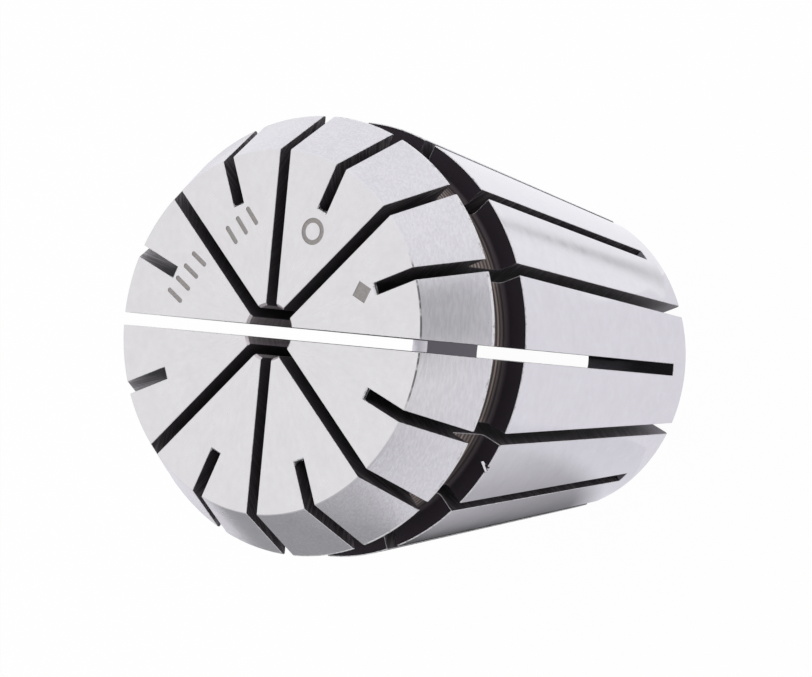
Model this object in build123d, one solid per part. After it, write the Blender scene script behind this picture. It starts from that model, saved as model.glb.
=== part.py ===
"""ER spring collet: a hardened steel sleeve with two tapers, split by sixteen saw cuts.

One solid, turned on one axis and then slotted.  The frame stands the collet on its small
back end: the origin is the centre of the back face, +Z runs along the axis towards the
wide end that faces the clamping nut, and the first face-side slot lies on +X.
Millimetres and degrees.
"""

import os
from math import sqrt, tan, radians

from build123d import *

# ---------------------------------------------------------------- driving dimensions
# Turned outside, from the wide end to the small end
length = 40.0                 # overall, face to back end
largest_diameter = 33.0       # rim in front of the groove, and large end of the seat
face_diameter = 27.1          # flat ring of the wide end, inside the nut cone
nut_cone_half_angle = 30.0    # cone that the clamping nut presses on
rim_land = 0.25               # narrow cylindrical land between nut cone and groove
groove_width = 4.2            # extraction groove, gripped by the nut's eccentric ring
groove_depth = 1.75
groove_corner_radius = 0.35
seat_half_angle = 8.0         # taper that the spindle or chuck socket holds

# Bored inside
bore_diameter = 4.0           # closes on the tool shank
bore_length = 14.0            # gripping length, from the face
relief_diameter = 15.4        # wide hole bored from the back end
drill_point_angle = 118.0     # cone at the bottom of the relief

# Saw cuts: half of them start at the face, half at the back end, in turn
slot_pairs = 8
slot_width = 0.95
saw_diameter = 63.0
saw_runout = 0.95             # how far the saw's rim passes inside the bore wall
back_web = 2.6                # left whole below a face-side slot, measured on the seat
face_web_diameter = 20.1      # left whole on the face inside a back-side slot

# Edge breaks
rim_break = 0.12
seat_break = 0.2
back_break = 0.3
bore_break = 0.1

# ---------------------------------------------------------------- derived dimensions
face_radius = face_diameter / 2
largest_radius = largest_diameter / 2
groove_radius = largest_radius - groove_depth
bore_radius = bore_diameter / 2
relief_radius = relief_diameter / 2
saw_radius = saw_diameter / 2

nut_cone_length = (largest_radius - face_radius) / tan(radians(nut_cone_half_angle))
land_top_z = length - nut_cone_length
groove_top_z = land_top_z - rim_land
seat_top_z = groove_top_z - groove_width
bore_bottom_z = length - bore_length
drill_point_length = (relief_radius - bore_radius) / tan(radians(drill_point_angle / 2))
relief_top_z = bore_bottom_z - drill_point_length

slot_pitch = 360.0 / slot_pairs
saw_axis_radius = bore_radius - saw_runout + saw_radius


def seat_radius_at(height):
    """Radius of the tapered seat at a height above the back end."""
    return largest_radius - (seat_top_z - height) * tan(radians(seat_half_angle))


def turned_blank():
    """The collet before sawing: one closed half profile, turned about the axis."""
    back_radius = seat_radius_at(0)
    bore_mouth = (bore_radius, length)
    face_edge = (face_radius, length)
    rim_front = (largest_radius, land_top_z)
    rim_back = (largest_radius, groove_top_z)
    groove_front = (groove_radius, groove_top_z)
    groove_back = (groove_radius, seat_top_z)
    seat_edge = (largest_radius, seat_top_z)
    back_edge = (back_radius, 0)
    relief_mouth = (relief_radius, 0)
    relief_top = (relief_radius, relief_top_z)
    bore_bottom = (bore_radius, bore_bottom_z)
    outline = [
        bore_mouth, face_edge, rim_front, rim_back, groove_front, groove_back,
        seat_edge, back_edge, relief_mouth, relief_top, bore_bottom,
    ]
    with BuildPart() as blank:
        with BuildSketch(Plane.XZ) as profile:
            with BuildLine():
                Polyline(*outline, close=True)
            make_face()

            def corner(point):
                return profile.vertices().sort_by_distance((point[0], point[1], 0))[0]

            fillet([corner(groove_front), corner(groove_back)], groove_corner_radius)
            chamfer(corner(rim_back), rim_break)
            chamfer(corner(seat_edge), seat_break)
            chamfer([corner(back_edge), corner(relief_mouth)], back_break)
            chamfer(corner(bore_mouth), bore_break)
        revolve(axis=Axis.Z)
    return blank.part


def saw_cut(stop_z, entry_z):
    """The space one saw pass clears: the saw's disc where it stops, and its way in."""
    travel = abs(entry_z - stop_z)
    with BuildPart() as cut:
        with BuildSketch(Plane.XZ):
            with Locations((saw_axis_radius, stop_z)):
                Circle(saw_radius)
            with Locations((saw_axis_radius, (stop_z + entry_z) / 2)):
                Rectangle(saw_diameter, travel)
        extrude(amount=slot_width / 2, both=True)
    return cut.part


def face_side_cut():
    """Comes in at the face, through seat and bore, and stops short of the back end."""
    reach = saw_axis_radius - seat_radius_at(back_web)
    stop_z = back_web + sqrt(saw_radius**2 - reach**2)
    return saw_cut(stop_z, length + saw_radius)


def back_side_cut():
    """Comes in at the back end and runs out through the outer part of the face."""
    reach = saw_axis_radius - face_web_diameter / 2
    stop_z = length - sqrt(saw_radius**2 - reach**2)
    return saw_cut(stop_z, -saw_radius)


def slotted_collet():
    """The blank with both sets of cuts, the two sets half a pitch apart."""
    face_cut = face_side_cut()
    back_cut = back_side_cut()
    cuts = []
    for index in range(slot_pairs):
        angle = index * slot_pitch
        cuts.append(Rot(0, 0, angle) * face_cut)
        cuts.append(Rot(0, 0, angle + slot_pitch / 2) * back_cut)
    collet = turned_blank() - cuts
    return collet


def main():
    collet = slotted_collet()
    os.makedirs("parts", exist_ok=True)
    export_step(collet, "parts/collet.step")
    size = collet.bounding_box().size
    print(f"collet {size.X:.2f} x {size.Y:.2f} x {size.Z:.2f} mm, "
          f"{len(collet.solids())} solid, {collet.volume:.0f} mm3")


main()
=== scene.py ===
# %% [markdown]
# # A spring collet, turned, sawn and ground
# The imported CAD model is the fixed frame: it stands on its small back end, with its axis
# on Z and its wide face up. Everything here is in metres in that same frame. The CAD model
# itself stays in the scene, hidden.

# %% Load the frame
from math import atan2, cos, hypot, pi, radians, sin, sqrt, tan

import bmesh
import bpy
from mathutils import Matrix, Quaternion, Vector


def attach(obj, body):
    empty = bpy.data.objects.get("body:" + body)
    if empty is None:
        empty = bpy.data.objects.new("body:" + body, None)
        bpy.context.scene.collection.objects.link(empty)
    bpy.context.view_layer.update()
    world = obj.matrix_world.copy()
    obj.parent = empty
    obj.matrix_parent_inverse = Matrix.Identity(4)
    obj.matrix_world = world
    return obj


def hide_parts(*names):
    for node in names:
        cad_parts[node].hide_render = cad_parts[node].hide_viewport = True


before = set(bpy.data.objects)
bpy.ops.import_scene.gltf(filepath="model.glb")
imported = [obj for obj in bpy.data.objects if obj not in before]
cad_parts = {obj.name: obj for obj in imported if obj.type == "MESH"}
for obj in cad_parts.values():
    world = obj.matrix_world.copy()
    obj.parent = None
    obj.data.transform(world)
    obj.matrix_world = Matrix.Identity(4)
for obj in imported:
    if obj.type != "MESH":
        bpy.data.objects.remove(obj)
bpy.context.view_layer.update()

MM = 0.001

# %% [markdown]
# ## Camera
# A long lens seen from far away keeps a small tool nearly free of perspective. The camera
# is placed by the point it aims at, its distance, how far it leans from the collet's axis
# and its roll, which lays the axis almost level in the picture.

# %% Camera
AIM = Vector((0.002, 0.476, 22.021)) * MM
DISTANCE = 337.44 * MM
LEAN = radians(34.403)
SIDE = radians(-0.181)
ROLL = radians(-84.482)
FOCAL_LENGTH = 193.64
NEAREST, FARTHEST = 0.01, 10

toward_camera = Vector((sin(LEAN) * cos(SIDE), sin(LEAN) * sin(SIDE), cos(LEAN)))
bpy.ops.object.select_all(action="DESELECT")
bpy.ops.object.camera_add(location=AIM + toward_camera * DISTANCE)
camera = bpy.context.object
camera.name = "camera"
camera.data.lens = FOCAL_LENGTH
camera.data.clip_start = NEAREST
camera.data.clip_end = FARTHEST
turned = (-toward_camera).to_track_quat("-Z", "Y") @ Quaternion((0, 0, 1), ROLL)
camera.rotation_euler = turned.to_euler()
bpy.context.scene.camera = camera
print("camera at", [round(value, 4) for value in camera.location])

# %% [markdown]
# ## The turned blank
# The collet starts as a bar turned between two tapers: a steep cone in front that the
# clamping nut presses on, a groove that the nut's ring pulls on, and a long shallow seat.
# It could be spun from a drawn profile. Here a circle the size of the back end is
# extruded ring by ring, as a lathe tool travels along the bar, which keeps every ring a
# named radius and height. The rings have 240 sides: a side is 1.5 degrees, so no side
# ends inside the wall of a slot later on.

# %% Sizes of the turned outside
LENGTH = 40 * MM
LARGEST_RADIUS = 16.5 * MM
FACE_RADIUS = 13.55 * MM
NUT_CONE_HALF_ANGLE = radians(30)
RIM_LAND = 0.25 * MM
GROOVE_WIDTH = 4.2 * MM
GROOVE_RADIUS = 14.75 * MM
SEAT_HALF_ANGLE = radians(8)
RING_SIDES = 240

land_top = LENGTH - (LARGEST_RADIUS - FACE_RADIUS) / tan(NUT_CONE_HALF_ANGLE)
groove_top = land_top - RIM_LAND
seat_top = groove_top - GROOVE_WIDTH


def seat_radius(height):
    """Radius of the tapered seat at a height above the back end."""
    return LARGEST_RADIUS - (seat_top - height) * tan(SEAT_HALF_ANGLE)


print("seat", round(2 * seat_radius(0) / MM, 2), "mm across at the back, and",
      round(seat_top / MM, 2), "mm long")

# %% [markdown]
# ## Turning
# One tool runs along the turning bar and leaves the whole outside. A Screw modifier on a
# drawn profile would give the same skin. An extrusion that is scaled at every stop needs
# no profile object and uses the values above as they stand. The first and the last disc
# are the two ends, so the solid is closed from the start.

# %% Turn the blank ring by ring
def only(piece):
    """Selects this piece alone and makes it the active one."""
    bpy.ops.object.select_all(action="DESELECT")
    piece.select_set(True)
    bpy.context.view_layer.objects.active = piece


def face_outward():
    """Turns all faces of the open mesh outward and leaves edit mode."""
    bpy.ops.mesh.select_all(action="SELECT")
    bpy.ops.mesh.normals_make_consistent(inside=False)
    bpy.ops.object.mode_set(mode="OBJECT")


def turn(name, rings, sides):
    """A solid turned about Z: a flat disc, extruded and scaled to each ring in turn."""
    bpy.ops.object.select_all(action="DESELECT")
    radius, height = rings[0]
    bpy.ops.mesh.primitive_circle_add(vertices=sides, radius=radius, fill_type="NGON",
                                      location=(0, 0, 0))
    piece = bpy.context.object
    piece.name = name
    bpy.ops.object.mode_set(mode="EDIT")
    bpy.ops.transform.translate(value=(0, 0, height))
    for next_radius, next_height in rings[1:]:
        bpy.ops.mesh.extrude_region_move(
            TRANSFORM_OT_translate={"value": (0, 0, next_height - height)})
        scale = next_radius / radius
        bpy.ops.transform.resize(value=(scale, scale, 1), center_override=(0, 0, next_height))
        radius, height = next_radius, next_height
    face_outward()
    return piece


collet = turn("collet_body", [
    (seat_radius(0), 0),
    (LARGEST_RADIUS, seat_top),
    (GROOVE_RADIUS, seat_top),
    (GROOVE_RADIUS, groove_top),
    (LARGEST_RADIUS, groove_top),
    (LARGEST_RADIUS, land_top),
    (FACE_RADIUS, LENGTH),
], RING_SIDES)
print("blank:", len(collet.data.polygons), "faces")

# %% [markdown]
# ## Broken edges
# A turned edge is never left razor sharp: the rim, the large end of the seat and the back
# end get a small break, and the groove has the rounded corners of its tool. Those rings
# are picked by their radius and height and bevelled.

# %% Break the turned edges
GROOVE_CORNER = 0.35 * MM
RIM_BREAK = 0.10 * MM
SEAT_BREAK = 0.08 * MM
BACK_BREAK = 0.3 * MM
FACE_BREAK = 0.045 * MM
ON_RING = 0.004 * MM


def open_mesh(piece, kind):
    """Opens a piece for editing by corners or edges, with nothing selected."""
    only(piece)
    bpy.ops.object.mode_set(mode="EDIT")
    bpy.ops.mesh.select_mode(type=kind)
    bpy.ops.mesh.select_all(action="DESELECT")
    return bmesh.from_edit_mesh(piece.data)


def break_edge(piece, rings, size, steps):
    """Bevels the edges that lie along the given (radius, height) rings."""
    mesh = open_mesh(piece, "EDGE")
    for edge in mesh.edges:
        for radius, height in rings:
            if all(abs(hypot(end.co.x, end.co.y) - radius) < ON_RING
                   and abs(end.co.z - height) < ON_RING for end in edge.verts):
                edge.select_set(True)
    bmesh.update_edit_mesh(piece.data)
    bpy.ops.mesh.bevel(offset=size, offset_type="OFFSET", segments=steps, profile=0.5,
                       affect="EDGES", clamp_overlap=False)
    bpy.ops.object.mode_set(mode="OBJECT")


for rings, size, steps in (
        ([(GROOVE_RADIUS, seat_top), (GROOVE_RADIUS, groove_top)], GROOVE_CORNER, 6),
        ([(LARGEST_RADIUS, groove_top)], RIM_BREAK, 2),
        ([(LARGEST_RADIUS, land_top)], RIM_BREAK, 2),
        ([(LARGEST_RADIUS, seat_top)], SEAT_BREAK, 2),
        ([(seat_radius(0), 0)], BACK_BREAK, 2),
        ([(FACE_RADIUS, LENGTH)], FACE_BREAK, 1)):
    break_edge(collet, rings, size, steps)
print("blank with broken edges:", len(collet.data.polygons), "faces")

# %% [markdown]
# ## Bore and relief
# The hole is made as on the lathe: a wide drill from the back leaves its cone at the
# bottom, and a small reamed bore goes through to the face. Both tools are turned here as
# solids and taken away with a Boolean. The small bore has 40 sides, so that its eight
# lands between the slots start and end between two of its edges.

# %% Turn the reamer and the drill
BORE_RADIUS = 2.0 * MM
BORE_LENGTH = 14.0 * MM
BORE_BREAK = 0.18 * MM
BORE_SIDES = 40
RELIEF_RADIUS = 7.7 * MM
DRILL_POINT = radians(118)
DRILL_TIP = 0.02 * MM
CLEAR = 1.0 * MM

bore_bottom = LENGTH - BORE_LENGTH
relief_top = bore_bottom - (RELIEF_RADIUS - BORE_RADIUS) / tan(DRILL_POINT / 2)
point_top = relief_top + RELIEF_RADIUS / tan(DRILL_POINT / 2)

reamer = turn("reamer", [
    (BORE_RADIUS, bore_bottom - CLEAR),
    (BORE_RADIUS, LENGTH - BORE_BREAK),
    (BORE_RADIUS + BORE_BREAK + CLEAR, LENGTH + CLEAR),
], BORE_SIDES)
drill = turn("drill", [
    (RELIEF_RADIUS + BACK_BREAK + CLEAR, -CLEAR),
    (RELIEF_RADIUS, BACK_BREAK),
    (RELIEF_RADIUS, relief_top),
    (DRILL_TIP, point_top),
], RING_SIDES)
print("relief ends", round(relief_top / MM, 2), "mm above the back end")

# %% [markdown]
# ## A name for each finish
# The steel is one, but ground, turned, bored, sawn, rubbed and etched surfaces look
# different. The finishes are named before the cutting starts, so that each tool can leave
# its own behind. Painting the faces afterwards would mean finding them all again.

# %% Name the finishes
def name_finish(name, colour):
    """A material with a viewport colour; its nodes are made further on."""
    finish = bpy.data.materials.new(name)
    finish.use_nodes = True
    finish.diffuse_color = (*colour, 1)
    return finish


ground_steel = name_finish("ground_steel", (0.72, 0.72, 0.74))
groove_steel = name_finish("groove_steel", (0.10, 0.09, 0.08))
bored_steel = name_finish("bored_steel", (0.30, 0.29, 0.29))
sawn_steel = name_finish("sawn_steel", (0.12, 0.11, 0.12))
slot_end_steel = name_finish("slot_end_steel", (0.40, 0.38, 0.39))
edge_steel = name_finish("edge_steel", (0.80, 0.80, 0.80))
etched_steel = name_finish("etched_steel", (0.36, 0.34, 0.32))
print("finishes:", len(bpy.data.materials))

# %% [markdown]
# ## Drilling and reaming
# A Boolean modifier takes a tool away from the blank. Its exact solver copes with walls that
# touch, and the transfer of materials gives every new face the finish of the tool. Applied
# at once, the cut becomes plain mesh again, ready for the next tool.

# %% Drill and ream
def cut_away(piece, tool, operation="DIFFERENCE"):
    """Subtracts a tool from the piece; the new faces keep the tool's finish."""
    only(piece)
    boolean = piece.modifiers.new("cut", "BOOLEAN")
    boolean.operation = operation
    boolean.solver = "EXACT"
    boolean.material_mode = "TRANSFER"
    boolean.object = tool
    bpy.ops.object.modifier_apply(modifier=boolean.name)


collet.data.materials.append(ground_steel)
for tool in (drill, reamer):
    tool.data.materials.append(bored_steel)
    cut_away(collet, tool)
    bpy.data.objects.remove(tool)
print("bored blank:", len(collet.data.polygons), "faces")

# %% [markdown]
# ## Finish of the groove
# Seat, cones and faces are ground bright after hardening. The groove is only turned, so it
# keeps the dark skin of the furnace. Its faces are the ones behind the rim and in front
# of the seat, found by their height.

# %% Give the groove its own finish
A_LITTLE = 0.01 * MM
WALL_MARGIN = 0.2 * MM
LEVEL = 0.95


def out_and_up(face):
    """How far from the axis and how high a face lies."""
    return hypot(face.center.x, face.center.y), face.center.z


def count_faces(slot):
    """How many faces of the collet have the finish in this slot."""
    return sum(face.material_index == slot for face in collet.data.polygons)


only(collet)
collet.data.materials.append(groove_steel)
groove_slot = collet.data.materials.find(groove_steel.name)
for face in collet.data.polygons:
    out, up = out_and_up(face)
    in_groove = seat_top - A_LITTLE < up < groove_top + A_LITTLE
    outside = out > GROOVE_RADIUS - WALL_MARGIN
    below_rim = out < LARGEST_RADIUS - WALL_MARGIN
    if in_groove and outside and face.material_index == 0:
        if below_rim or abs(face.normal.z) > LEVEL:
            face.material_index = groove_slot
print("groove faces:", count_faces(groove_slot))

# %% [markdown]
# ## Bright rim and edges
# The narrow rim and the broken edge of the seat touch the nut whenever it is tightened,
# which rubs them bright. They could be rings of their own, but then the body would no
# longer be one closed solid, so only their material differs.

# %% Give the rim and the broken edges their bright finish
RIM_REACH = 0.12 * MM
SEAT_EDGE_REACH = 0.08 * MM

collet.data.materials.append(edge_steel)
edge_slot = collet.data.materials.find(edge_steel.name)
for face in collet.data.polygons:
    out, up = out_and_up(face)
    rim = (groove_top - A_LITTLE < up < land_top + RIM_BREAK
           and out > LARGEST_RADIUS - RIM_REACH)
    seat_edge = (seat_top - SEAT_BREAK < up < seat_top
                 and out > LARGEST_RADIUS - SEAT_EDGE_REACH)
    if rim or seat_edge and abs(face.normal.z) < LEVEL:
        face.material_index = edge_slot
print("bright edge faces:", count_faces(edge_slot))

# %% [markdown]
# ## The saw and its sixteen cuts
# A thin circular saw makes each slot. It comes in at one end, runs through the wall and
# stops with its round edge still in the metal, so every slot ends in an arc. Eight cuts
# come from the face and eight from the back, in turn, which lets the whole sleeve close
# evenly. One saw of each kind is modelled: a disc whose far half is pulled out along its
# way in. It is then turned by one pitch at a time and used again.

# %% Make the two saws
SLOT_PAIRS = 8
SLOT_WIDTH = 0.95 * MM
SAW_RADIUS = 31.5 * MM
SAW_RUNOUT = 0.95 * MM
BACK_WEB = 2.6 * MM
FACE_WEB_RADIUS = 10.05 * MM
SAW_SIDES = 360
SAW_TRAVEL = 70 * MM
PAST_CENTRE = 0.001 * MM

saw_axis_radius = BORE_RADIUS - SAW_RUNOUT + SAW_RADIUS
face_saw_stop = BACK_WEB + sqrt(
    SAW_RADIUS**2 - (saw_axis_radius - seat_radius(BACK_WEB))**2)
back_saw_stop = LENGTH - sqrt(SAW_RADIUS**2 - (saw_axis_radius - FACE_WEB_RADIUS)**2)


def settle():
    """Writes the place, turn and size of the active piece into its mesh."""
    bpy.ops.object.transform_apply(location=True, rotation=True, scale=True)


def make_saw(name, stop_height, way_in):
    """A saw disc at its stop; the half on the side it came from is drawn out by way_in."""
    bpy.ops.object.select_all(action="DESELECT")
    bpy.ops.mesh.primitive_cylinder_add(
        vertices=SAW_SIDES, radius=SAW_RADIUS, depth=SLOT_WIDTH,
        location=(saw_axis_radius, 0, stop_height), rotation=(pi / 2, 0, 0))
    saw = bpy.context.object
    saw.name = name
    settle()
    mesh = open_mesh(saw, "VERT")
    for corner in mesh.verts:
        if (corner.co.z - stop_height) * way_in > PAST_CENTRE * abs(way_in):
            corner.select_set(True)
    bmesh.update_edit_mesh(saw.data)
    bpy.ops.transform.translate(value=(0, 0, way_in))
    bpy.ops.object.mode_set(mode="OBJECT")
    saw.data.materials.append(sawn_steel)
    saw.data.materials.append(slot_end_steel)
    for face in saw.data.polygons:
        if abs(face.normal.y) < 0.5:
            face.material_index = 1
    return saw


face_saw = make_saw("face_saw", face_saw_stop, SAW_TRAVEL)
back_saw = make_saw("back_saw", back_saw_stop, -SAW_TRAVEL)
print("saw stops at", round(face_saw_stop / MM, 2), "and", round(back_saw_stop / MM, 2))

# %% [markdown]
# ## Sawing
# The blank sits in a dividing head and is turned by one pitch after each cut. An Array
# modifier would place all sixteen saws at once, but saws that cross on the axis make a
# poor Boolean tool. One saw that is taken away again and again keeps each cut exact.

# %% Saw the slots
pitch = 2 * pi / SLOT_PAIRS
for index in range(SLOT_PAIRS):
    face_saw.rotation_euler.z = index * pitch
    cut_away(collet, face_saw)
    back_saw.rotation_euler.z = (index + 0.5) * pitch
    cut_away(collet, back_saw)
for saw in (face_saw, back_saw):
    bpy.data.objects.remove(saw)
print("sawn collet:", len(collet.data.polygons), "faces")

# %% [markdown]
# ## Marks on the face
# A collet carries shallow etched marks on its face. These are plain ones: bars, a ring and
# a diamond. Each is a flat shape extruded into a small tool that bites a few hundredths
# of a millimetre into the face and leaves the etched finish behind.

# %% Make a marking tool
MARK_DEPTH = 0.03 * MM
MARK_TOP = 0.2 * MM


def mark_tool(sides, radius, hole=0.0, drawn_out=0.0, lean=0.0, at=(0, 0)):
    """A flat round or pointed shape, drawn out to a bar if wanted, made into a tool."""
    bpy.ops.object.select_all(action="DESELECT")
    bpy.ops.mesh.primitive_circle_add(vertices=sides, radius=radius, fill_type="NGON")
    tool = bpy.context.object
    bpy.ops.object.mode_set(mode="EDIT")
    if hole:
        bpy.ops.mesh.inset(thickness=radius - hole)
        bpy.ops.mesh.delete(type="ONLY_FACE")
    for side in (1, -1):
        bpy.ops.mesh.select_all(action="DESELECT")
        mesh = bmesh.from_edit_mesh(tool.data)
        for corner in mesh.verts:
            corner.select_set(corner.co.y * side > 0)
        mesh.select_flush(False)
        bmesh.update_edit_mesh(tool.data)
        bpy.ops.transform.translate(value=(0, side * drawn_out / 2, 0))
    bpy.ops.mesh.select_all(action="SELECT")
    bpy.ops.mesh.extrude_region_move(
        TRANSFORM_OT_translate={"value": (0, 0, MARK_DEPTH + MARK_TOP)})
    face_outward()
    tool.rotation_euler.z = radians(lean)
    tool.location = (at[0] * MM, at[1] * MM, LENGTH - MARK_DEPTH)
    settle()
    tool.data.materials.append(etched_steel)
    return tool


print("marks will be", round(MARK_DEPTH / MM, 2), "mm deep")

# %% [markdown]
# ## Setting the marks out
# The bars stand in two rows and the ring and the diamond alone, each in the middle of its
# sector, where the slots leave room. All are joined to one tool, so that the face is cut
# once, however many marks there are.

# %% Etch the marks
STROKE = 0.36 * MM
BAR_LENGTH = 1.3 * MM
BAR_SPACING = 1.15
BAR_SIDES = 22
RING_RADIUS = 1.0 * MM
RING_MARK_SIDES = 48
DIAMOND_RADIUS = 0.85 * MM


def bar_row(centre, count, lean):
    """Bars side by side along a line that leans by this many degrees."""
    row = []
    for step in range(count):
        offset = (step - (count - 1) / 2) * BAR_SPACING
        at = (centre[0] + cos(radians(lean)) * offset, centre[1] + sin(radians(lean)) * offset)
        row.append(mark_tool(BAR_SIDES, STROKE / 2, drawn_out=BAR_LENGTH, lean=lean, at=at))
    return row


marks = bar_row(centre=(-8.0, 3.5), count=4, lean=56)
marks += bar_row(centre=(-3.35, 7.68), count=3, lean=42)
marks.append(mark_tool(RING_MARK_SIDES, RING_RADIUS, hole=RING_RADIUS - STROKE,
                       at=(3.15, 7.64)))
marks.append(mark_tool(4, DIAMOND_RADIUS, lean=20, at=(8.05, 3.5)))
only(marks[0])
for tool in marks:
    tool.select_set(True)
bpy.ops.object.join()
cut_away(collet, marks[0])
bpy.data.objects.remove(marks[0])
print("etched face:", len(collet.data.polygons), "faces")

# %% [markdown]
# ## The blunt ends of the short slots
# Where the round saw leaves the face it rubs the last of the metal over, so the inner end
# of each short slot has a wider, brighter edge than its sides. One small bar, turned by
# 45 degrees about the edge, planes that edge off, and it is turned from slot to slot.

# %% Plane the slot ends
SLOT_END_EDGE = 0.2 * MM
SIDE_PLAY = 0.03 * MM

bpy.ops.object.select_all(action="DESELECT")
side = SLOT_END_EDGE * sqrt(2)
bpy.ops.mesh.primitive_cube_add(size=1, location=(FACE_WEB_RADIUS, 0, LENGTH),
                                rotation=(0, pi / 4, 0),
                                scale=(side, SLOT_WIDTH + SIDE_PLAY, side))
plane_bar = bpy.context.object
settle()
plane_bar.data.materials.append(edge_steel)
for index in range(SLOT_PAIRS):
    plane_bar.rotation_euler.z = (index + 0.5) * pitch
    cut_away(collet, plane_bar)
bpy.data.objects.remove(plane_bar)
print("planed slot ends:", SLOT_PAIRS)

# %% [markdown]
# ## A nick in the edge of the seat
# Handling leaves its traces: on this edge the metal was struck and stands up as a thin
# tongue over the groove, with a slit behind it. The tongue is a tapered bar joined on with
# a Boolean union, and the slit is a narrow bar taken away.

# %% Strike the nick
def small_bar(start, end, width, low, high, taper=1.0, roll=0.0):
    """A bar between two places on the plan, rolled if wanted and slimmer at its start."""
    first, last = Vector(start) * MM, Vector(end) * MM
    middle, run = (first + last) / 2, last - first
    bpy.ops.object.select_all(action="DESELECT")
    bpy.ops.mesh.primitive_cube_add(
        size=1, location=(middle.x, middle.y, (low + high) / 2),
        rotation=(roll, 0, atan2(run.y, run.x)), scale=(run.length, width, high - low))
    bar = bpy.context.object
    bpy.ops.object.transform_apply(location=False, rotation=False, scale=True)
    for corner in bar.data.vertices:
        if corner.co.x < 0:
            corner.co.y *= taper
            corner.co.z *= taper
    settle()
    bar.data.materials.append(ground_steel)
    return bar


tongue = small_bar(start=(13.61, -8.10), end=(14.10, -8.80), width=0.30 * MM,
                   low=seat_top - 0.12 * MM, high=seat_top + 0.20 * MM,
                   taper=0.6, roll=pi / 4)
cut_away(collet, tongue, "UNION")
slit = small_bar(start=(13.95, -8.26), end=(14.32, -8.85), width=0.14 * MM,
                 low=seat_top - 0.3 * MM, high=seat_top + 0.4 * MM)
slit.data.materials[0] = sawn_steel
cut_away(collet, slit)
for tool in (tongue, slit):
    bpy.data.objects.remove(tool)
print("nicked collet:", len(collet.data.polygons), "faces")

# %% [markdown]
# ## Clean the cut mesh
# The Booleans leave doubled corners and flat walls in several pieces. Doubles are merged
# and flat neighbours of one finish are dissolved into one face, so that the next bevel
# meets only real edges.

# %% Merge and dissolve
SAME_CORNER = 0.0005 * MM
SAME_PLANE = radians(0.05)

only(collet)
bpy.ops.object.mode_set(mode="EDIT")
bpy.ops.mesh.select_all(action="SELECT")
bpy.ops.mesh.remove_doubles(threshold=SAME_CORNER)
bpy.ops.mesh.dissolve_limited(angle_limit=SAME_PLANE, delimit={"MATERIAL", "NORMAL"})
face_outward()
print("cleaned collet:", len(collet.data.polygons), "faces")

# %% [markdown]
# ## Sharp edges of the slots
# Where the saw leaves the ground faces the edge is crisp, but still has a width that
# catches the light. The edges between a sawn face and any other finish are bevelled by a
# few hundredths of a millimetre and keep a finish of their own.

# %% Bevel the slot edges
SHARP_EDGE = 0.03 * MM
EDGE_ANGLE = radians(25)

sawn_slots = {collet.data.materials.find(finish.name)
              for finish in (sawn_steel, slot_end_steel)}
mesh = open_mesh(collet, "EDGE")
for edge in mesh.edges:
    sawn = [face.material_index in sawn_slots for face in edge.link_faces]
    if sorted(sawn) == [False, True] and edge.is_convex:
        if edge.calc_face_angle(0) > EDGE_ANGLE:
            edge.select_set(True)
bmesh.update_edit_mesh(collet.data)
bpy.ops.mesh.bevel(offset=SHARP_EDGE, offset_type="OFFSET", segments=1, profile=0.5,
                   affect="EDGES", clamp_overlap=False, loop_slide=False,
                   material=edge_slot)
bpy.ops.object.mode_set(mode="OBJECT")
print("bevelled collet:", len(collet.data.polygons), "faces")

# %% [markdown]
# ## Dull edges
# The edges inside the bore stay dull, and so do those on one side of each slot in the groove.
# The bevel gave every edge the bright finish at once, and it is simpler to set these few
# faces back afterwards than to choose among the edges before.

# %% Keep the bright edge to the ground faces
BORE_MARGIN = 0.1 * MM
FACE_MARGIN = 0.2 * MM
RIM_MARGIN = 0.15 * MM
SEAT_MARGIN = 0.05 * MM

dark_slot = collet.data.materials.find(sawn_steel.name)
for face in collet.data.polygons:
    out, up = out_and_up(face)
    inside = out < RELIEF_RADIUS + BORE_MARGIN and up < LENGTH - FACE_MARGIN
    grooved = out < LARGEST_RADIUS - RIM_MARGIN and seat_top - SEAT_MARGIN < up < groove_top
    onward = face.normal.y * face.center.x - face.normal.x * face.center.y < 0
    if face.material_index == edge_slot and (inside or grooved and onward):
        face.material_index = dark_slot
print("faces left bright:", count_faces(edge_slot))

# %% [markdown]
# ## Smooth shading
# A ground cone is round, but its mesh has flat sides. Sides that meet at less than twenty
# degrees are shaded as one surface and all steeper edges stay crisp. More sides would
# hide the facets too, at the cost of a far heavier mesh.

# %% Smooth shading
SMOOTH_ANGLE = radians(20)

only(collet)
bpy.ops.object.shade_smooth_by_angle(angle=SMOOTH_ANGLE)
collet.data.validate()
print("finish names:", [finish.name for finish in collet.data.materials])

# %% [markdown]
# ## Helpers for the finishes
# All patterns follow the lathe: they are worked out from how far round, how far out and
# how high up a point is. A tree of nodes is long to write out by hand, so each helper adds
# one kind of step to it and hands its output on to the next.

# %% Node helpers
MEAN_RADIUS = 15.0


def add_node(tree, kind, feeds=None, **settings):
    """Adds a node, gives it its settings, and feeds its inputs with values or links."""
    made = tree.nodes.new(kind)
    for name, value in settings.items():
        setattr(made, name, value)
    for name, value in (feeds or {}).items():
        if isinstance(value, bpy.types.NodeSocket):
            tree.links.new(value, made.inputs[name])
        else:
            made.inputs[name].default_value = value
    return made


def calculate(tree, operation, first, second=0.0):
    """One step of arithmetic on two values or links."""
    return add_node(tree, "ShaderNodeMath", {0: first, 1: second},
                    operation=operation).outputs[0]


def both(tree, first, second):
    """The product of two factors: where one is nought, so is the whole."""
    return calculate(tree, "MULTIPLY", first, second)


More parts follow.
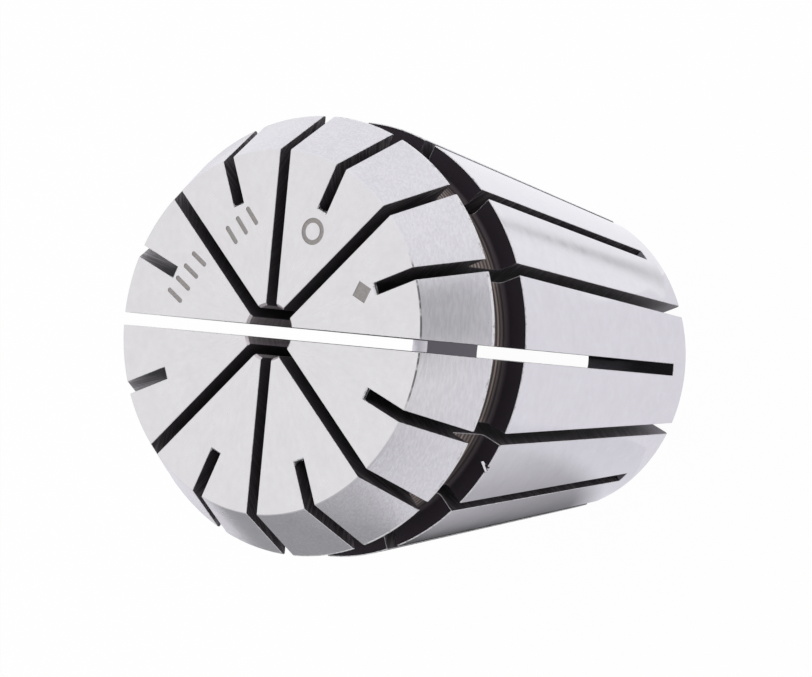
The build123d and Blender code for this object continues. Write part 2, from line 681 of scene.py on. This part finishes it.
def lathe_coordinates(tree):
    """Distance round (in millimetres at the seat), out and up, from Object coordinates."""
    place = add_node(tree, "ShaderNodeTexCoord").outputs["Object"]
    across, along, up = add_node(tree, "ShaderNodeSeparateXYZ", {0: place}).outputs
    turn_angle = calculate(tree, "ARCTAN2", along, across)
    out = calculate(tree, "SQRT", calculate(
        tree, "ADD", both(tree, across, across), both(tree, along, along)))
    return (both(tree, turn_angle, MEAN_RADIUS), calculate(tree, "DIVIDE", out, MM),
            calculate(tree, "DIVIDE", up, MM))


def open_finish(finish):
    """The tree of a finish, its shader and the lathe coordinates in it."""
    tree = finish.node_tree
    return tree, tree.nodes["Principled BSDF"], lathe_coordinates(tree)


def noise(tree, vector, detail):
    """A noise at this place, with so many finer layers added."""
    return add_node(tree, "ShaderNodeTexNoise", {
        "Vector": vector, "Scale": 1.0, "Detail": detail}).outputs["Fac"]


def stretched_noise(tree, coordinates, stretch, detail):
    """Noise in lathe coordinates, drawn out along each of them by its own factor."""
    scaled = [both(tree, value, factor) for value, factor in zip(coordinates, stretch)]
    vector = add_node(tree, "ShaderNodeCombineXYZ", dict(enumerate(scaled))).outputs[0]
    return noise(tree, vector, detail)


def span(tree, value, low, high, to_low, to_high):
    """Maps a value from one span to another and holds it at the ends."""
    return add_node(tree, "ShaderNodeMapRange", {
        "Value": value, "From Min": low, "From Max": high,
        "To Min": to_low, "To Max": to_high}).outputs[0]


def lay_over(tree, factor, under, colour):
    """Lays one colour over a shading, by a factor."""
    return add_node(tree, "ShaderNodeMix", {"Factor": factor, "A": under, "B": (*colour, 1)},
                    data_type="RGBA").outputs["Result"]


def shade(tree, factor, dark, light):
    """Mixes two colours by a factor."""
    return lay_over(tree, factor, (*dark, 1), light)


def roughen(tree, height, strength, depth):
    """Drives the normal of a finish with a bump of this height."""
    bump = add_node(tree, "ShaderNodeBump", {"Height": height, "Strength": strength,
                                             "Distance": depth})
    tree.links.new(bump.outputs[0], tree.nodes["Principled BSDF"].inputs["Normal"])


print("one turn is", round(2 * pi * MEAN_RADIUS, 1), "mm in these coordinates")

# %% [markdown]
# ## Ground steel
# Hardened and ground steel mirrors the room a little cloudily, and the nut leaves fine rub
# marks on its cone. One flat grey would look like paint, so two sizes of weak noise vary
# the tone. All that follows is laid over this tone, one layer at a time.

# %% Ground steel: a cloudy tone
GROUND_DARK, GROUND_LIGHT = (0.720, 0.708, 0.728), (0.770, 0.760, 0.776)
CLOUDS = (0.45, 0.45, 0.45)
SPECKS = (1.6, 1.6, 1.6)

tree, surface, place = open_finish(ground_steel)
round_mm, out_mm, up_mm = place
clouds = stretched_noise(tree, place, CLOUDS, 3.0)
specks = stretched_noise(tree, place, SPECKS, 2.0)
tone = calculate(tree, "ADD", both(tree, clouds, 0.55), both(tree, specks, 0.45))
ground_tone = shade(tree, span(tree, tone, 0.32, 0.66, 0, 1), GROUND_DARK, GROUND_LIGHT)
print("ground steel: tones from", GROUND_DARK, "to", GROUND_LIGHT)

# %% [markdown]
# ## Rub marks on the cone
# The nut turns a little on its cone while it is tightened and leaves short parallel marks.
# A noise that a Mapping node squeezes in two directions gives streaks. Two spans of the
# height keep them to the cone, so the face and the seat stay clean.

# %% Ground steel: rub marks on the cone
RUBBED = (0.42, 0.40, 0.43)
STREAKS = (5200, 900, 5200)

on_nut_cone = both(tree, span(tree, up_mm, 39.90, 39.97, 1, 0),
                   span(tree, up_mm, 34.6, 34.9, 0, 1))
flat_place = add_node(tree, "ShaderNodeTexCoord").outputs["Object"]
streak_place = add_node(tree, "ShaderNodeMapping", {
    "Vector": flat_place, "Scale": STREAKS}).outputs[0]
brushed = noise(tree, streak_place, 3.0)
rubbed = both(tree, on_nut_cone, span(tree, brushed, 0.40, 0.62, 0.16, 0))
rubbed_tone = lay_over(tree, rubbed, ground_tone, RUBBED)
print("rub marks:", STREAKS[0] // STREAKS[1], "times longer than wide")

# %% [markdown]
# ## The line round the face
# On one side a fine dark line runs where the face meets the cone: painted shade, the shadow of
# a tiny burr on that edge. It could be cut as a scratch, but it is thinner than any bevel.
# Spans of the distance out and of the height draw it, a noise breaks it up, and it reaches
# part way round.

# %% Ground steel: the painted shade line round the face
# The dark tone of the painted shade line.
PAINTED_LINE_SHADE = (0.05, 0.045, 0.05)

face_line = both(tree, span(tree, out_mm, 13.49, 13.53, 0, 1),
                 both(tree, span(tree, up_mm, 39.86, 39.88, 0, 1),
                      span(tree, out_mm, 13.60, 13.62, 1, 0)))
breaks = stretched_noise(tree, place, (0.9, 0.0, 0.0), 2.0)
line_reach = span(tree, calculate(tree, "ABSOLUTE", calculate(
    tree, "SUBTRACT", round_mm, 1.2)), 5.2, 6.6, 1, 0)
line = both(tree, both(tree, face_line, line_reach),
            span(tree, breaks, 0.40, 0.50, 0.15, 0.75))
tree.links.new(lay_over(tree, line, rubbed_tone, PAINTED_LINE_SHADE), surface.inputs["Base Color"])
print("line on the face: 13.5 mm from the axis")

# %% [markdown]
# ## Gloss of the ground steel
# The seat is ground finer than the face, so it mirrors more sharply. Roughness follows the
# clouds and drops below the groove, and the streaks drive a small bump on the cone.

# %% Ground steel: gloss
SEAT_POLISH = 0.08

on_seat = span(tree, up_mm, 30.4, 30.6, 1, 0)
tree.links.new(calculate(tree, "SUBTRACT", span(tree, clouds, 0.3, 0.7, 0.22, 0.28),
                         both(tree, on_seat, SEAT_POLISH)),
               surface.inputs["Roughness"])
surface.inputs["Metallic"].default_value = 1.0
roughen(tree, both(tree, brushed, on_nut_cone), 0.35, 0.02 * MM)
print("ground steel:", len(tree.nodes), "nodes")

# %% [markdown]
# ## Furnace-dark groove
# The groove keeps the dark skin of the furnace and the feed lines of the turning tool.
# The lines could be modelled, but they are far finer than the mesh. A cosine of the height
# gives one line for each turn of the tool, a slow noise lets it wander, and the same value
# drives a small bump.

# %% Furnace-dark groove
TOOL_FEED = 0.48
FURNACE_SKIN = (0.046, 0.038, 0.048)
RIDGE_TONE = (0.47, 0.395, 0.35)

tree, surface, place = open_finish(groove_steel)
round_mm, out_mm, up_mm = place
wander = stretched_noise(tree, place, (0.12, 0.6, 0.6), 2.0)
turns = calculate(tree, "ADD", both(tree, up_mm, 2 * pi / TOOL_FEED),
                  both(tree, wander, 3.0))
ridges = calculate(tree, "COSINE", turns)
fine_lines = stretched_noise(tree, place, (0.06, 7.0, 7.0), 3.0)
turned_tone = both(tree, span(tree, ridges, -0.6, 0.9, 0.20, 1),
                   span(tree, fine_lines, 0.35, 0.6, 0.45, 1))
on_floor = both(tree, span(tree, up_mm, 30.6, 31.6, 0.10, 1),
                span(tree, out_mm, 14.9, 15.1, 1, 0))
tree.links.new(shade(tree, both(tree, turned_tone, on_floor), FURNACE_SKIN, RIDGE_TONE),
               surface.inputs["Base Color"])
surface.inputs["Metallic"].default_value = 0.3
surface.inputs["Specular IOR Level"].default_value = 0.1
surface.inputs["Roughness"].default_value = 0.5
roughen(tree, turned_tone, 0.3, 0.03 * MM)
print("groove steel: one feed line every", TOOL_FEED, "mm")

# %% [markdown]
# ## Bored steel
# The reamed bore is painted light near the face, and the wider relief behind it is painted
# dark:
# painted light and shade. Two materials would need a seam, so one serves both: noise drawn out
# round the axis gives the feed lines, and the height decides how bright the wall is painted.

# %% Bored steel
RELIEF_PAINTED_SHADE, BORE_PAINTED_LIGHT = (0.19, 0.173, 0.20), (0.80, 0.74, 0.76)

tree, surface, place = open_finish(bored_steel)
feed_lines = stretched_noise(tree, place, (0.05, 3.0, 3.0), 3.0)
lines_and_painted_light = both(tree, span(tree, feed_lines, 0.3, 0.7, 0.6, 1),
                  span(tree, place[2], 25.5, 26.5, 0.0, 1))
tree.links.new(shade(tree, lines_and_painted_light, RELIEF_PAINTED_SHADE, BORE_PAINTED_LIGHT),
               surface.inputs["Base Color"])
surface.inputs["Metallic"].default_value = 0.6
surface.inputs["Roughness"].default_value = 0.38
roughen(tree, feed_lines, 0.2, 0.03 * MM)
print("bored steel:", len(tree.nodes), "nodes")

# %% [markdown]
# ## Sawn steel
# Each tooth of the saw leaves an arc on the wall of a slot. A wave texture could be turned
# for every slot, but the saw's own centre is known from the cuts, so the distance from it
# gives the arcs of all sixteen slots with one formula. The ends of the slots are burnished
# by the rim of the saw and get the same pattern in smoother steel.

# %% Sawn steel: arcs of the teeth
def saw_arcs(tree, place):
    """A noise drawn out along the saw's arcs, and which end the saw came from."""
    reach = calculate(tree, "SUBTRACT", saw_axis_radius / MM, place[1])
    rise = calculate(tree, "SQRT", calculate(
        tree, "SUBTRACT", (SAW_RADIUS / MM)**2, both(tree, reach, reach)))
    from_face = calculate(tree, "SIGN", calculate(
        tree, "COSINE", both(tree, place[0], SLOT_PAIRS / MEAN_RADIUS)))
    arc = calculate(tree, "ADD", place[2], both(tree, rise, from_face))
    teeth = stretched_noise(tree, (arc, place[1], place[0]), (5.5, 0.35, 0.3), 4.0)
    return teeth, from_face


print("saw arcs about a centre", round(saw_axis_radius / MM, 2), "mm off the axis")

# %% [markdown]
# ## Painted light and shade on the walls
# Some walls of the slots get painted light: those on the left and the top, and the open ends
# of the cuts from the back. The stops deep inside the rest get painted shade. Each is a factor
# of
# Object coordinates that fades in over a short span.

# %% Sawn steel: painted light and shade on the walls
PAINTED_LIGHT_TONE = (0.75, 0.73, 0.75)
BLACK = (0, 0, 0)


def painted_wall_light(tree, place, teeth):
    """How much painted light a wall gets, on the left and just under the skin at the top."""
    across, along, up = add_node(tree, "ShaderNodeSeparateXYZ", {
        0: add_node(tree, "ShaderNodeTexCoord").outputs["Object"]}).outputs
    left_wall = both(tree, span(tree, across, -12.5 * MM, -11.0 * MM, 1, 0),
                     span(tree, teeth, 0.42, 0.60, 0.12, 0.8))
    below_seat = calculate(tree, "ADD", place[1], both(
        tree, place[2], -tan(SEAT_HALF_ANGLE)))
    back_radius = seat_radius(0) / MM
    skin = span(tree, below_seat, back_radius - 0.4, back_radius - 0.2, 0, 1)
    upper_wall = both(tree, skin, both(
        tree, span(tree, along, 12.0 * MM, 12.5 * MM, 0, 0.7),
        span(tree, up, 27.0 * MM, 29.5 * MM, 1, 0)))
    return calculate(tree, "ADD", left_wall, upper_wall), along, up


def saw_finish(finish, dark, light, metallic, roughness, end_shadow=0.0):
    """The whole finish of a sawn wall, with the saw's arcs, painted light and painted shade.
    """
    tree, surface, place = open_finish(finish)
    teeth, from_face = saw_arcs(tree, place)
    # Painted light: the arcs show more strongly towards the outside of the wall, where a slot
    # is open.
    arcs_and_painted_light = both(tree, span(tree, teeth, 0.46, 0.62, 0, 1),
                  span(tree, place[1], 10.5, 13.5, 0.12, 0.5))
    # Painted light at the open ends of the cuts from the back, fading with the height.
    painted_open_end_light = both(tree, span(tree, from_face, -0.5, 0.5, 0.5, 0),
                    span(tree, place[2], 3.0, 14.0, 1, 0))
    sawn = shade(tree, calculate(tree, "ADD", arcs_and_painted_light, painted_open_end_light), dark, light)
    painted_light, along, up = painted_wall_light(tree, place, teeth)
    # Painted shade: deep down, walls away from the X axis are laid over with black by
    # end_shadow.
    beside = span(tree, calculate(tree, "ABSOLUTE", along), 3 * MM, 5 * MM, 0, end_shadow)
    deep_down = span(tree, up, 12 * MM, 15 * MM, 1, 0)
    tone = lay_over(tree, both(tree, beside, deep_down),
                    lay_over(tree, painted_light, sawn, PAINTED_LIGHT_TONE), BLACK)
    tree.links.new(tone, surface.inputs["Base Color"])
    surface.inputs["Metallic"].default_value = metallic
    surface.inputs["Specular IOR Level"].default_value = 0.1
    surface.inputs["Roughness"].default_value = roughness
    roughen(tree, teeth, 0.2, 0.03 * MM)


saw_finish(sawn_steel, dark=(0.085, 0.075, 0.085), light=(0.34, 0.32, 0.33),
           metallic=0.35, roughness=0.42)
saw_finish(slot_end_steel, dark=(0.25, 0.235, 0.265), light=(0.34, 0.325, 0.36),
           metallic=1.0, roughness=0.14, end_shadow=0.6)
print("sawn steel:", len(sawn_steel.node_tree.nodes), "nodes")

# %% [markdown]
# ## Bright edges
# A rubbed edge is a narrow, bright and slightly broken line. Its faces are so small that a
# mirror finish would flicker, so it is a pale and rather rough metal, and a noise dulls it
# here and there.

# %% Bright edges
DULLED, RUBBED_BRIGHT = (0.55, 0.54, 0.55), (0.92, 0.91, 0.93)

tree, surface, place = open_finish(edge_steel)
dents = stretched_noise(tree, place, (2.6, 2.6, 2.6), 3.0)
tree.links.new(shade(tree, span(tree, dents, 0.32, 0.46, 0, 1), DULLED, RUBBED_BRIGHT),
               surface.inputs["Base Color"])
surface.inputs["Metallic"].default_value = 0.3
surface.inputs["Roughness"].default_value = 0.55
print("bright edges:", len(tree.nodes), "nodes")

# %% [markdown]
# ## Etched marks
# Etching eats into the steel and leaves a matt grey floor with a fine grain. The marks are
# cut as real shallow shapes, so a rough metal with a weak noise is all that they need.

# %% Etched marks
ETCHED_DARK, ETCHED_LIGHT = (0.33, 0.31, 0.30), (0.43, 0.41, 0.40)

tree, surface, place = open_finish(etched_steel)
grain = stretched_noise(tree, place, (5.0, 5.0, 5.0), 3.0)
tree.links.new(shade(tree, span(tree, grain, 0.3, 0.7, 0, 1), ETCHED_DARK, ETCHED_LIGHT),
               surface.inputs["Base Color"])
surface.inputs["Metallic"].default_value = 0.5
surface.inputs["Roughness"].default_value = 0.6
print("etched marks:", len(tree.nodes), "nodes")

# %% [markdown]
# ## Into the frame
# The finished body takes the place of the plain CAD solid. It stands at the origin,
# unturned and unscaled, because its place is already in its mesh.

# %% Put the piece into the frame
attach(collet, "root")
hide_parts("collet")
print("collet:", len(collet.data.polygons), "faces in its place in the frame")

# %% [markdown]
# ## Floor
# Bright metal shows what stands round it, so the studio matters as much as the steel. The
# floor is one big sheet of matt paper. Light Path lets the camera and the mirroring metal
# see it as plain white, while the light that falls on it still gives a soft shadow.

# %% Matt paper
WHITE = (1, 1, 1, 1)


def studio_finish(name, colour, seen, mirrored, tint):
    """Matt paper that is plain white to the camera by one share, and glows in a mirror."""
    paper = bpy.data.materials.new(name)
    paper.use_nodes = True
    tree = paper.node_tree
    surface = tree.nodes["Principled BSDF"]
    surface.inputs["Base Color"].default_value = (*colour, 1)
    surface.inputs["Roughness"].default_value = 0.9
    light_path = add_node(tree, "ShaderNodeLightPath").outputs
    result = surface.outputs[0]
    in_mirror = tint(tree) if callable(tint) else (*tint, 1)
    for ray, share, colour_seen in (("Is Camera Ray", seen, WHITE),
                                    ("Is Transmission Ray", seen, WHITE),
                                    ("Is Glossy Ray", mirrored, in_mirror)):
        glow = add_node(tree, "ShaderNodeEmission", {"Color": colour_seen, "Strength": 1.0})
        result = add_node(tree, "ShaderNodeMixShader", {
            0: both(tree, light_path[ray], share), 1: result, 2: glow.outputs[0]}).outputs[0]
    tree.links.new(result, tree.nodes["Material Output"].inputs["Surface"])
    return paper


white_paper = studio_finish("white_paper", colour=(0.9, 0.9, 0.9), seen=0.975,
                            mirrored=0.84, tint=(0.94, 0.925, 0.99))
print("paper:", len(white_paper.node_tree.nodes), "nodes")

# %% [markdown]
# ## Laying the floor
# A sheet of the studio is a flat face with its corners put where they belong. The floor
# reaches far past the picture, which leaves no horizon.

# %% Floor
FLOOR_REACH = 3.0


def stand_in(name, corners, finish):
    """A flat sheet of the studio with these corners; not part of the collet."""
    bpy.ops.object.select_all(action="DESELECT")
    bpy.ops.mesh.primitive_circle_add(vertices=len(corners), radius=1, fill_type="NGON")
    sheet = bpy.context.object
    sheet.name = name
    for corner, place in zip(sheet.data.vertices, corners):
        corner.co = place
    sheet.data.materials.append(finish)
    return sheet


floor = stand_in("floor", [
    (-FLOOR_REACH, -FLOOR_REACH, 0), (FLOOR_REACH, -FLOOR_REACH, 0),
    (FLOOR_REACH, FLOOR_REACH, 0), (-FLOOR_REACH, FLOOR_REACH, 0)], white_paper)
print("floor:", round(floor.dimensions.x, 2), "m wide")

# %% [markdown]
# ## Cards
# In a studio, grey and white cards stand beside polished metal to give its curves a form.
# More lamps would do so too, but they would burn out the pale faces. Each card is a flat
# sheet that mirror rays alone can meet, so it neither lights the collet nor darkens the
# floor. Two of them are graded, as paper with a sprayed fade is.

# %% Cards that only the metal mirrors
def mirror_card(name, corners_mm, grey):
    """A card that shows in the metal and nowhere else; grey is a value or a shading."""
    if callable(grey):
        finish = studio_finish(name, (0.5, 0.5, 0.5), seen=0, mirrored=1, tint=grey)
    else:
        finish = studio_finish(name, (grey, grey, grey), seen=0, mirrored=1,
                               tint=(grey, grey, COOL * grey))
    card = stand_in(name, [Vector(corner) * MM for corner in corners_mm], finish)
    for ray in ("camera", "diffuse", "shadow", "transmission", "volume_scatter"):
        setattr(card, "visible_" + ray, False)
    print(name, "with", len(corners_mm), "corners")


COOL = 1.04
mirror_card("dark_card_far", [
    (12, -34, 0.3), (20, -120, 0.3), (-10, -160, 0.3), (-400, -260, 0.3),
    (-50, -42, 0.3), (-26, -30, 0.3)], grey=0.38)
mirror_card("grey_card_far", [
    (20, -120, 0.3), (240, -600, 0.3), (-400, -600, 0.3), (-400, -260, 0.3),
    (-10, -160, 0.3)], grey=0.54)
mirror_card("grey_card_right", [
    (200, 7, 0.5), (200, 138, 0.5), (200, 138, 110), (200, 7, 110)], grey=0.56)
mirror_card("white_card_back", [
    (-160, 120, 0.5), (300, 120, 0.5), (300, 120, 200), (-160, 120, 200)], grey=1.0)
mirror_card("white_card_low", [
    (-150, 24, 0.3), (-12, 24, 0.3), (-4, 15, 0.3), (3, 11.5, 0.3), (9, 7.6, 0.3),
    (17, 9, 0.3), (20, 24, 0.3), (100, 24, 0.3), (100, 118, 0.3), (-150, 118, 0.3)], grey=1.0)

# %% [markdown]
# ## The graded card in front
# The lower side of the seat darkens towards the left. A card with one grey would give it a
# flat band, so this one runs through nine greys on a Color Ramp, and turns nearly white
# beside the seat. Its pattern is laid out in millimetres on the floor.

# %% Graded card in front
BESIDE_SEAT = (0.79, 0.78, 0.84)
NEAR_STEPS = [(-6, 0.07), (-3.5, 0.10), (-1.3, 0.20), (0.5, 0.26), (3, 0.33), (7, 0.44),
              (11, 0.55), (15, 0.67), (18, 0.74)]


def spot_on_floor(tree):
    """How far right and back on the floor a ray has landed, in millimetres."""
    place = add_node(tree, "ShaderNodeTexCoord").outputs["Object"]
    parts = add_node(tree, "ShaderNodeSeparateXYZ", {0: place}).outputs
    return calculate(tree, "DIVIDE", parts[0], MM), calculate(tree, "DIVIDE", parts[1], MM)


def near_shade(tree):
    """Dark on the left, lighter step by step to the right, and white next to the seat."""
    right, back = spot_on_floor(tree)
    drift = both(tree, calculate(tree, "ADD", back, 18), span(tree, right, 4, 9, 0.9, 0))
    drifted = calculate(tree, "SUBTRACT", right, drift)
    first, last = NEAR_STEPS[0][0], NEAR_STEPS[-1][0]
    ramp = add_node(tree, "ShaderNodeValToRGB", {0: span(tree, drifted, first, last, 0, 1)})
    for extra in NEAR_STEPS[2:]:
        ramp.color_ramp.elements.new(0.5)
    for stop, (place, grey) in zip(ramp.color_ramp.elements, NEAR_STEPS):
        stop.position = (place - first) / (last - first)
        stop.color = (grey, 0.985 * grey, 1.05 * grey, 1)
    slanted = calculate(tree, "ADD", back, both(tree, right, 0.30))
    return lay_over(tree, span(tree, slanted, -11.8, -9.0, 0, 1), ramp.outputs[0],
                    BESIDE_SEAT)


mirror_card("near_card", [
    (-30, -50, 0.5), (12, -34, 0.5), (24, -34, 0.5), (24, -14.7, 0.5), (16, -10, 0.5),
    (11, -7.2, 0.5), (8.8, -8.7, 0.5), (6.2, -10.7, 0.5), (3.2, -11.95, 0.5),
    (0, -12.4, 0.5), (-3.2, -12, 0.5), (-12, -13.6, 0.5), (-26, -22, 0.5)], grey=near_shade)

# %% [markdown]
# ## The thin card behind
# A narrow grey streak runs along the upper side of the seat. It comes from a thin card that
# is darkest in its middle and fades to white on both sides, and that gets darker as it goes
# away from the collet.

# %% Thin card behind
def thin_shade(tree):
    """A grey stripe that fades out to white on both sides."""
    right, back = spot_on_floor(tree)
    middle = span(tree, back, 8, 24, 10.25, 11.72)
    aside = calculate(tree, "ABSOLUTE", calculate(tree, "SUBTRACT", right, middle))
    beside = calculate(tree, "DIVIDE", aside, span(tree, back, 8, 21, 1.3, 0.8))
    grey = span(tree, back, 8, 21, 0.74, 0.12)
    tone = calculate(tree, "ADD", grey, both(
        tree, span(tree, beside, 0, 1, 0, 1), calculate(tree, "SUBTRACT", 1, grey)))
    return shade(tree, tone, BLACK, (1, 1, COOL))


mirror_card("thin_card", [
    (9.0, 8.8, 0.4), (9.9, 7.7, 0.4), (11.6, 6.4, 0.4), (12.2, 15.0, 0.4), (12.8, 24, 0.4),
    (10.6, 24, 0.4), (9.6, 15.0, 0.4)], grey=thin_shade)

# %% [markdown]
# ## Room
# The room is evenly white and a little darker on one side. Two dark patches stand where the
# lens and the table below it would be, because the broad face and the far bore mirror that
# side of the room. The camera itself sees plain white.

# %% Light of the room
SHADED_SIDE = (0.40, 0.40, 0.42, 1)
LIGHT_SIDE = (0.975, 0.97, 0.975, 1)
LIGHT_FROM = 0.36

world = bpy.data.worlds.new("soft_studio")
bpy.context.scene.world = world
world.use_nodes = True
tree = world.node_tree
direction = add_node(tree, "ShaderNodeTexCoord").outputs["Generated"]
side = add_node(tree, "ShaderNodeSeparateXYZ", {0: direction}).outputs[1]
ramp = add_node(tree, "ShaderNodeValToRGB", {0: span(tree, side, -1, 1, 0, 1)})
ramp.color_ramp.interpolation = "EASE"
for stop, position, colour in zip(ramp.color_ramp.elements, (0.0, LIGHT_FROM),
                                  (SHADED_SIDE, LIGHT_SIDE)):
    stop.position = position
    stop.color = colour
print("room: light side from", LIGHT_FROM)

# %% [markdown]
# ## Dark patches of the room
# How far a direction is from the middle of a patch is the dot product of the two: one in the
# middle, and less the further away. A span of it gives a round patch with a soft rim.

# %% Dark patches of the room
TOWARD_LENS = (0.80, 0, 0.60)
BELOW_LENS = (0.94, 0, 0.34)


def patch(middle, inner, outer, darkest):
    """The share of light that is left round one direction of the room."""
    nearness = add_node(tree, "ShaderNodeVectorMath", {0: direction, 1: middle},
                        operation="DOT_PRODUCT").outputs["Value"]
    return span(tree, nearness, outer, inner, 1.0, darkest)


room_light = both(tree, patch(TOWARD_LENS, 0.97, 0.84, 0.03),
                  patch(BELOW_LENS, 0.993, 0.965, 0.04))
room = add_node(tree, "ShaderNodeBackground", {"Color": ramp.outputs[0],
                                               "Strength": room_light})
white = add_node(tree, "ShaderNodeBackground", {"Color": WHITE, "Strength": 1.0})
camera_ray = add_node(tree, "ShaderNodeLightPath").outputs["Is Camera Ray"]
seen_room = add_node(tree, "ShaderNodeMixShader", {0: camera_ray, 1: room.outputs[0],
                                                   2: white.outputs[0]})
tree.links.new(seen_room.outputs[0], tree.nodes["World Output"].inputs["Surface"])
print("room:", len(tree.nodes), "nodes")

# %% [markdown]
# ## Picture settings
# The Standard view shows a colour about as it is written, which suits pale metal in a white
# studio. Everything else stays as Blender has it.

# %% Picture settings
bpy.context.scene.view_settings.view_transform = "Standard"
print("view:", bpy.context.scene.view_settings.view_transform)
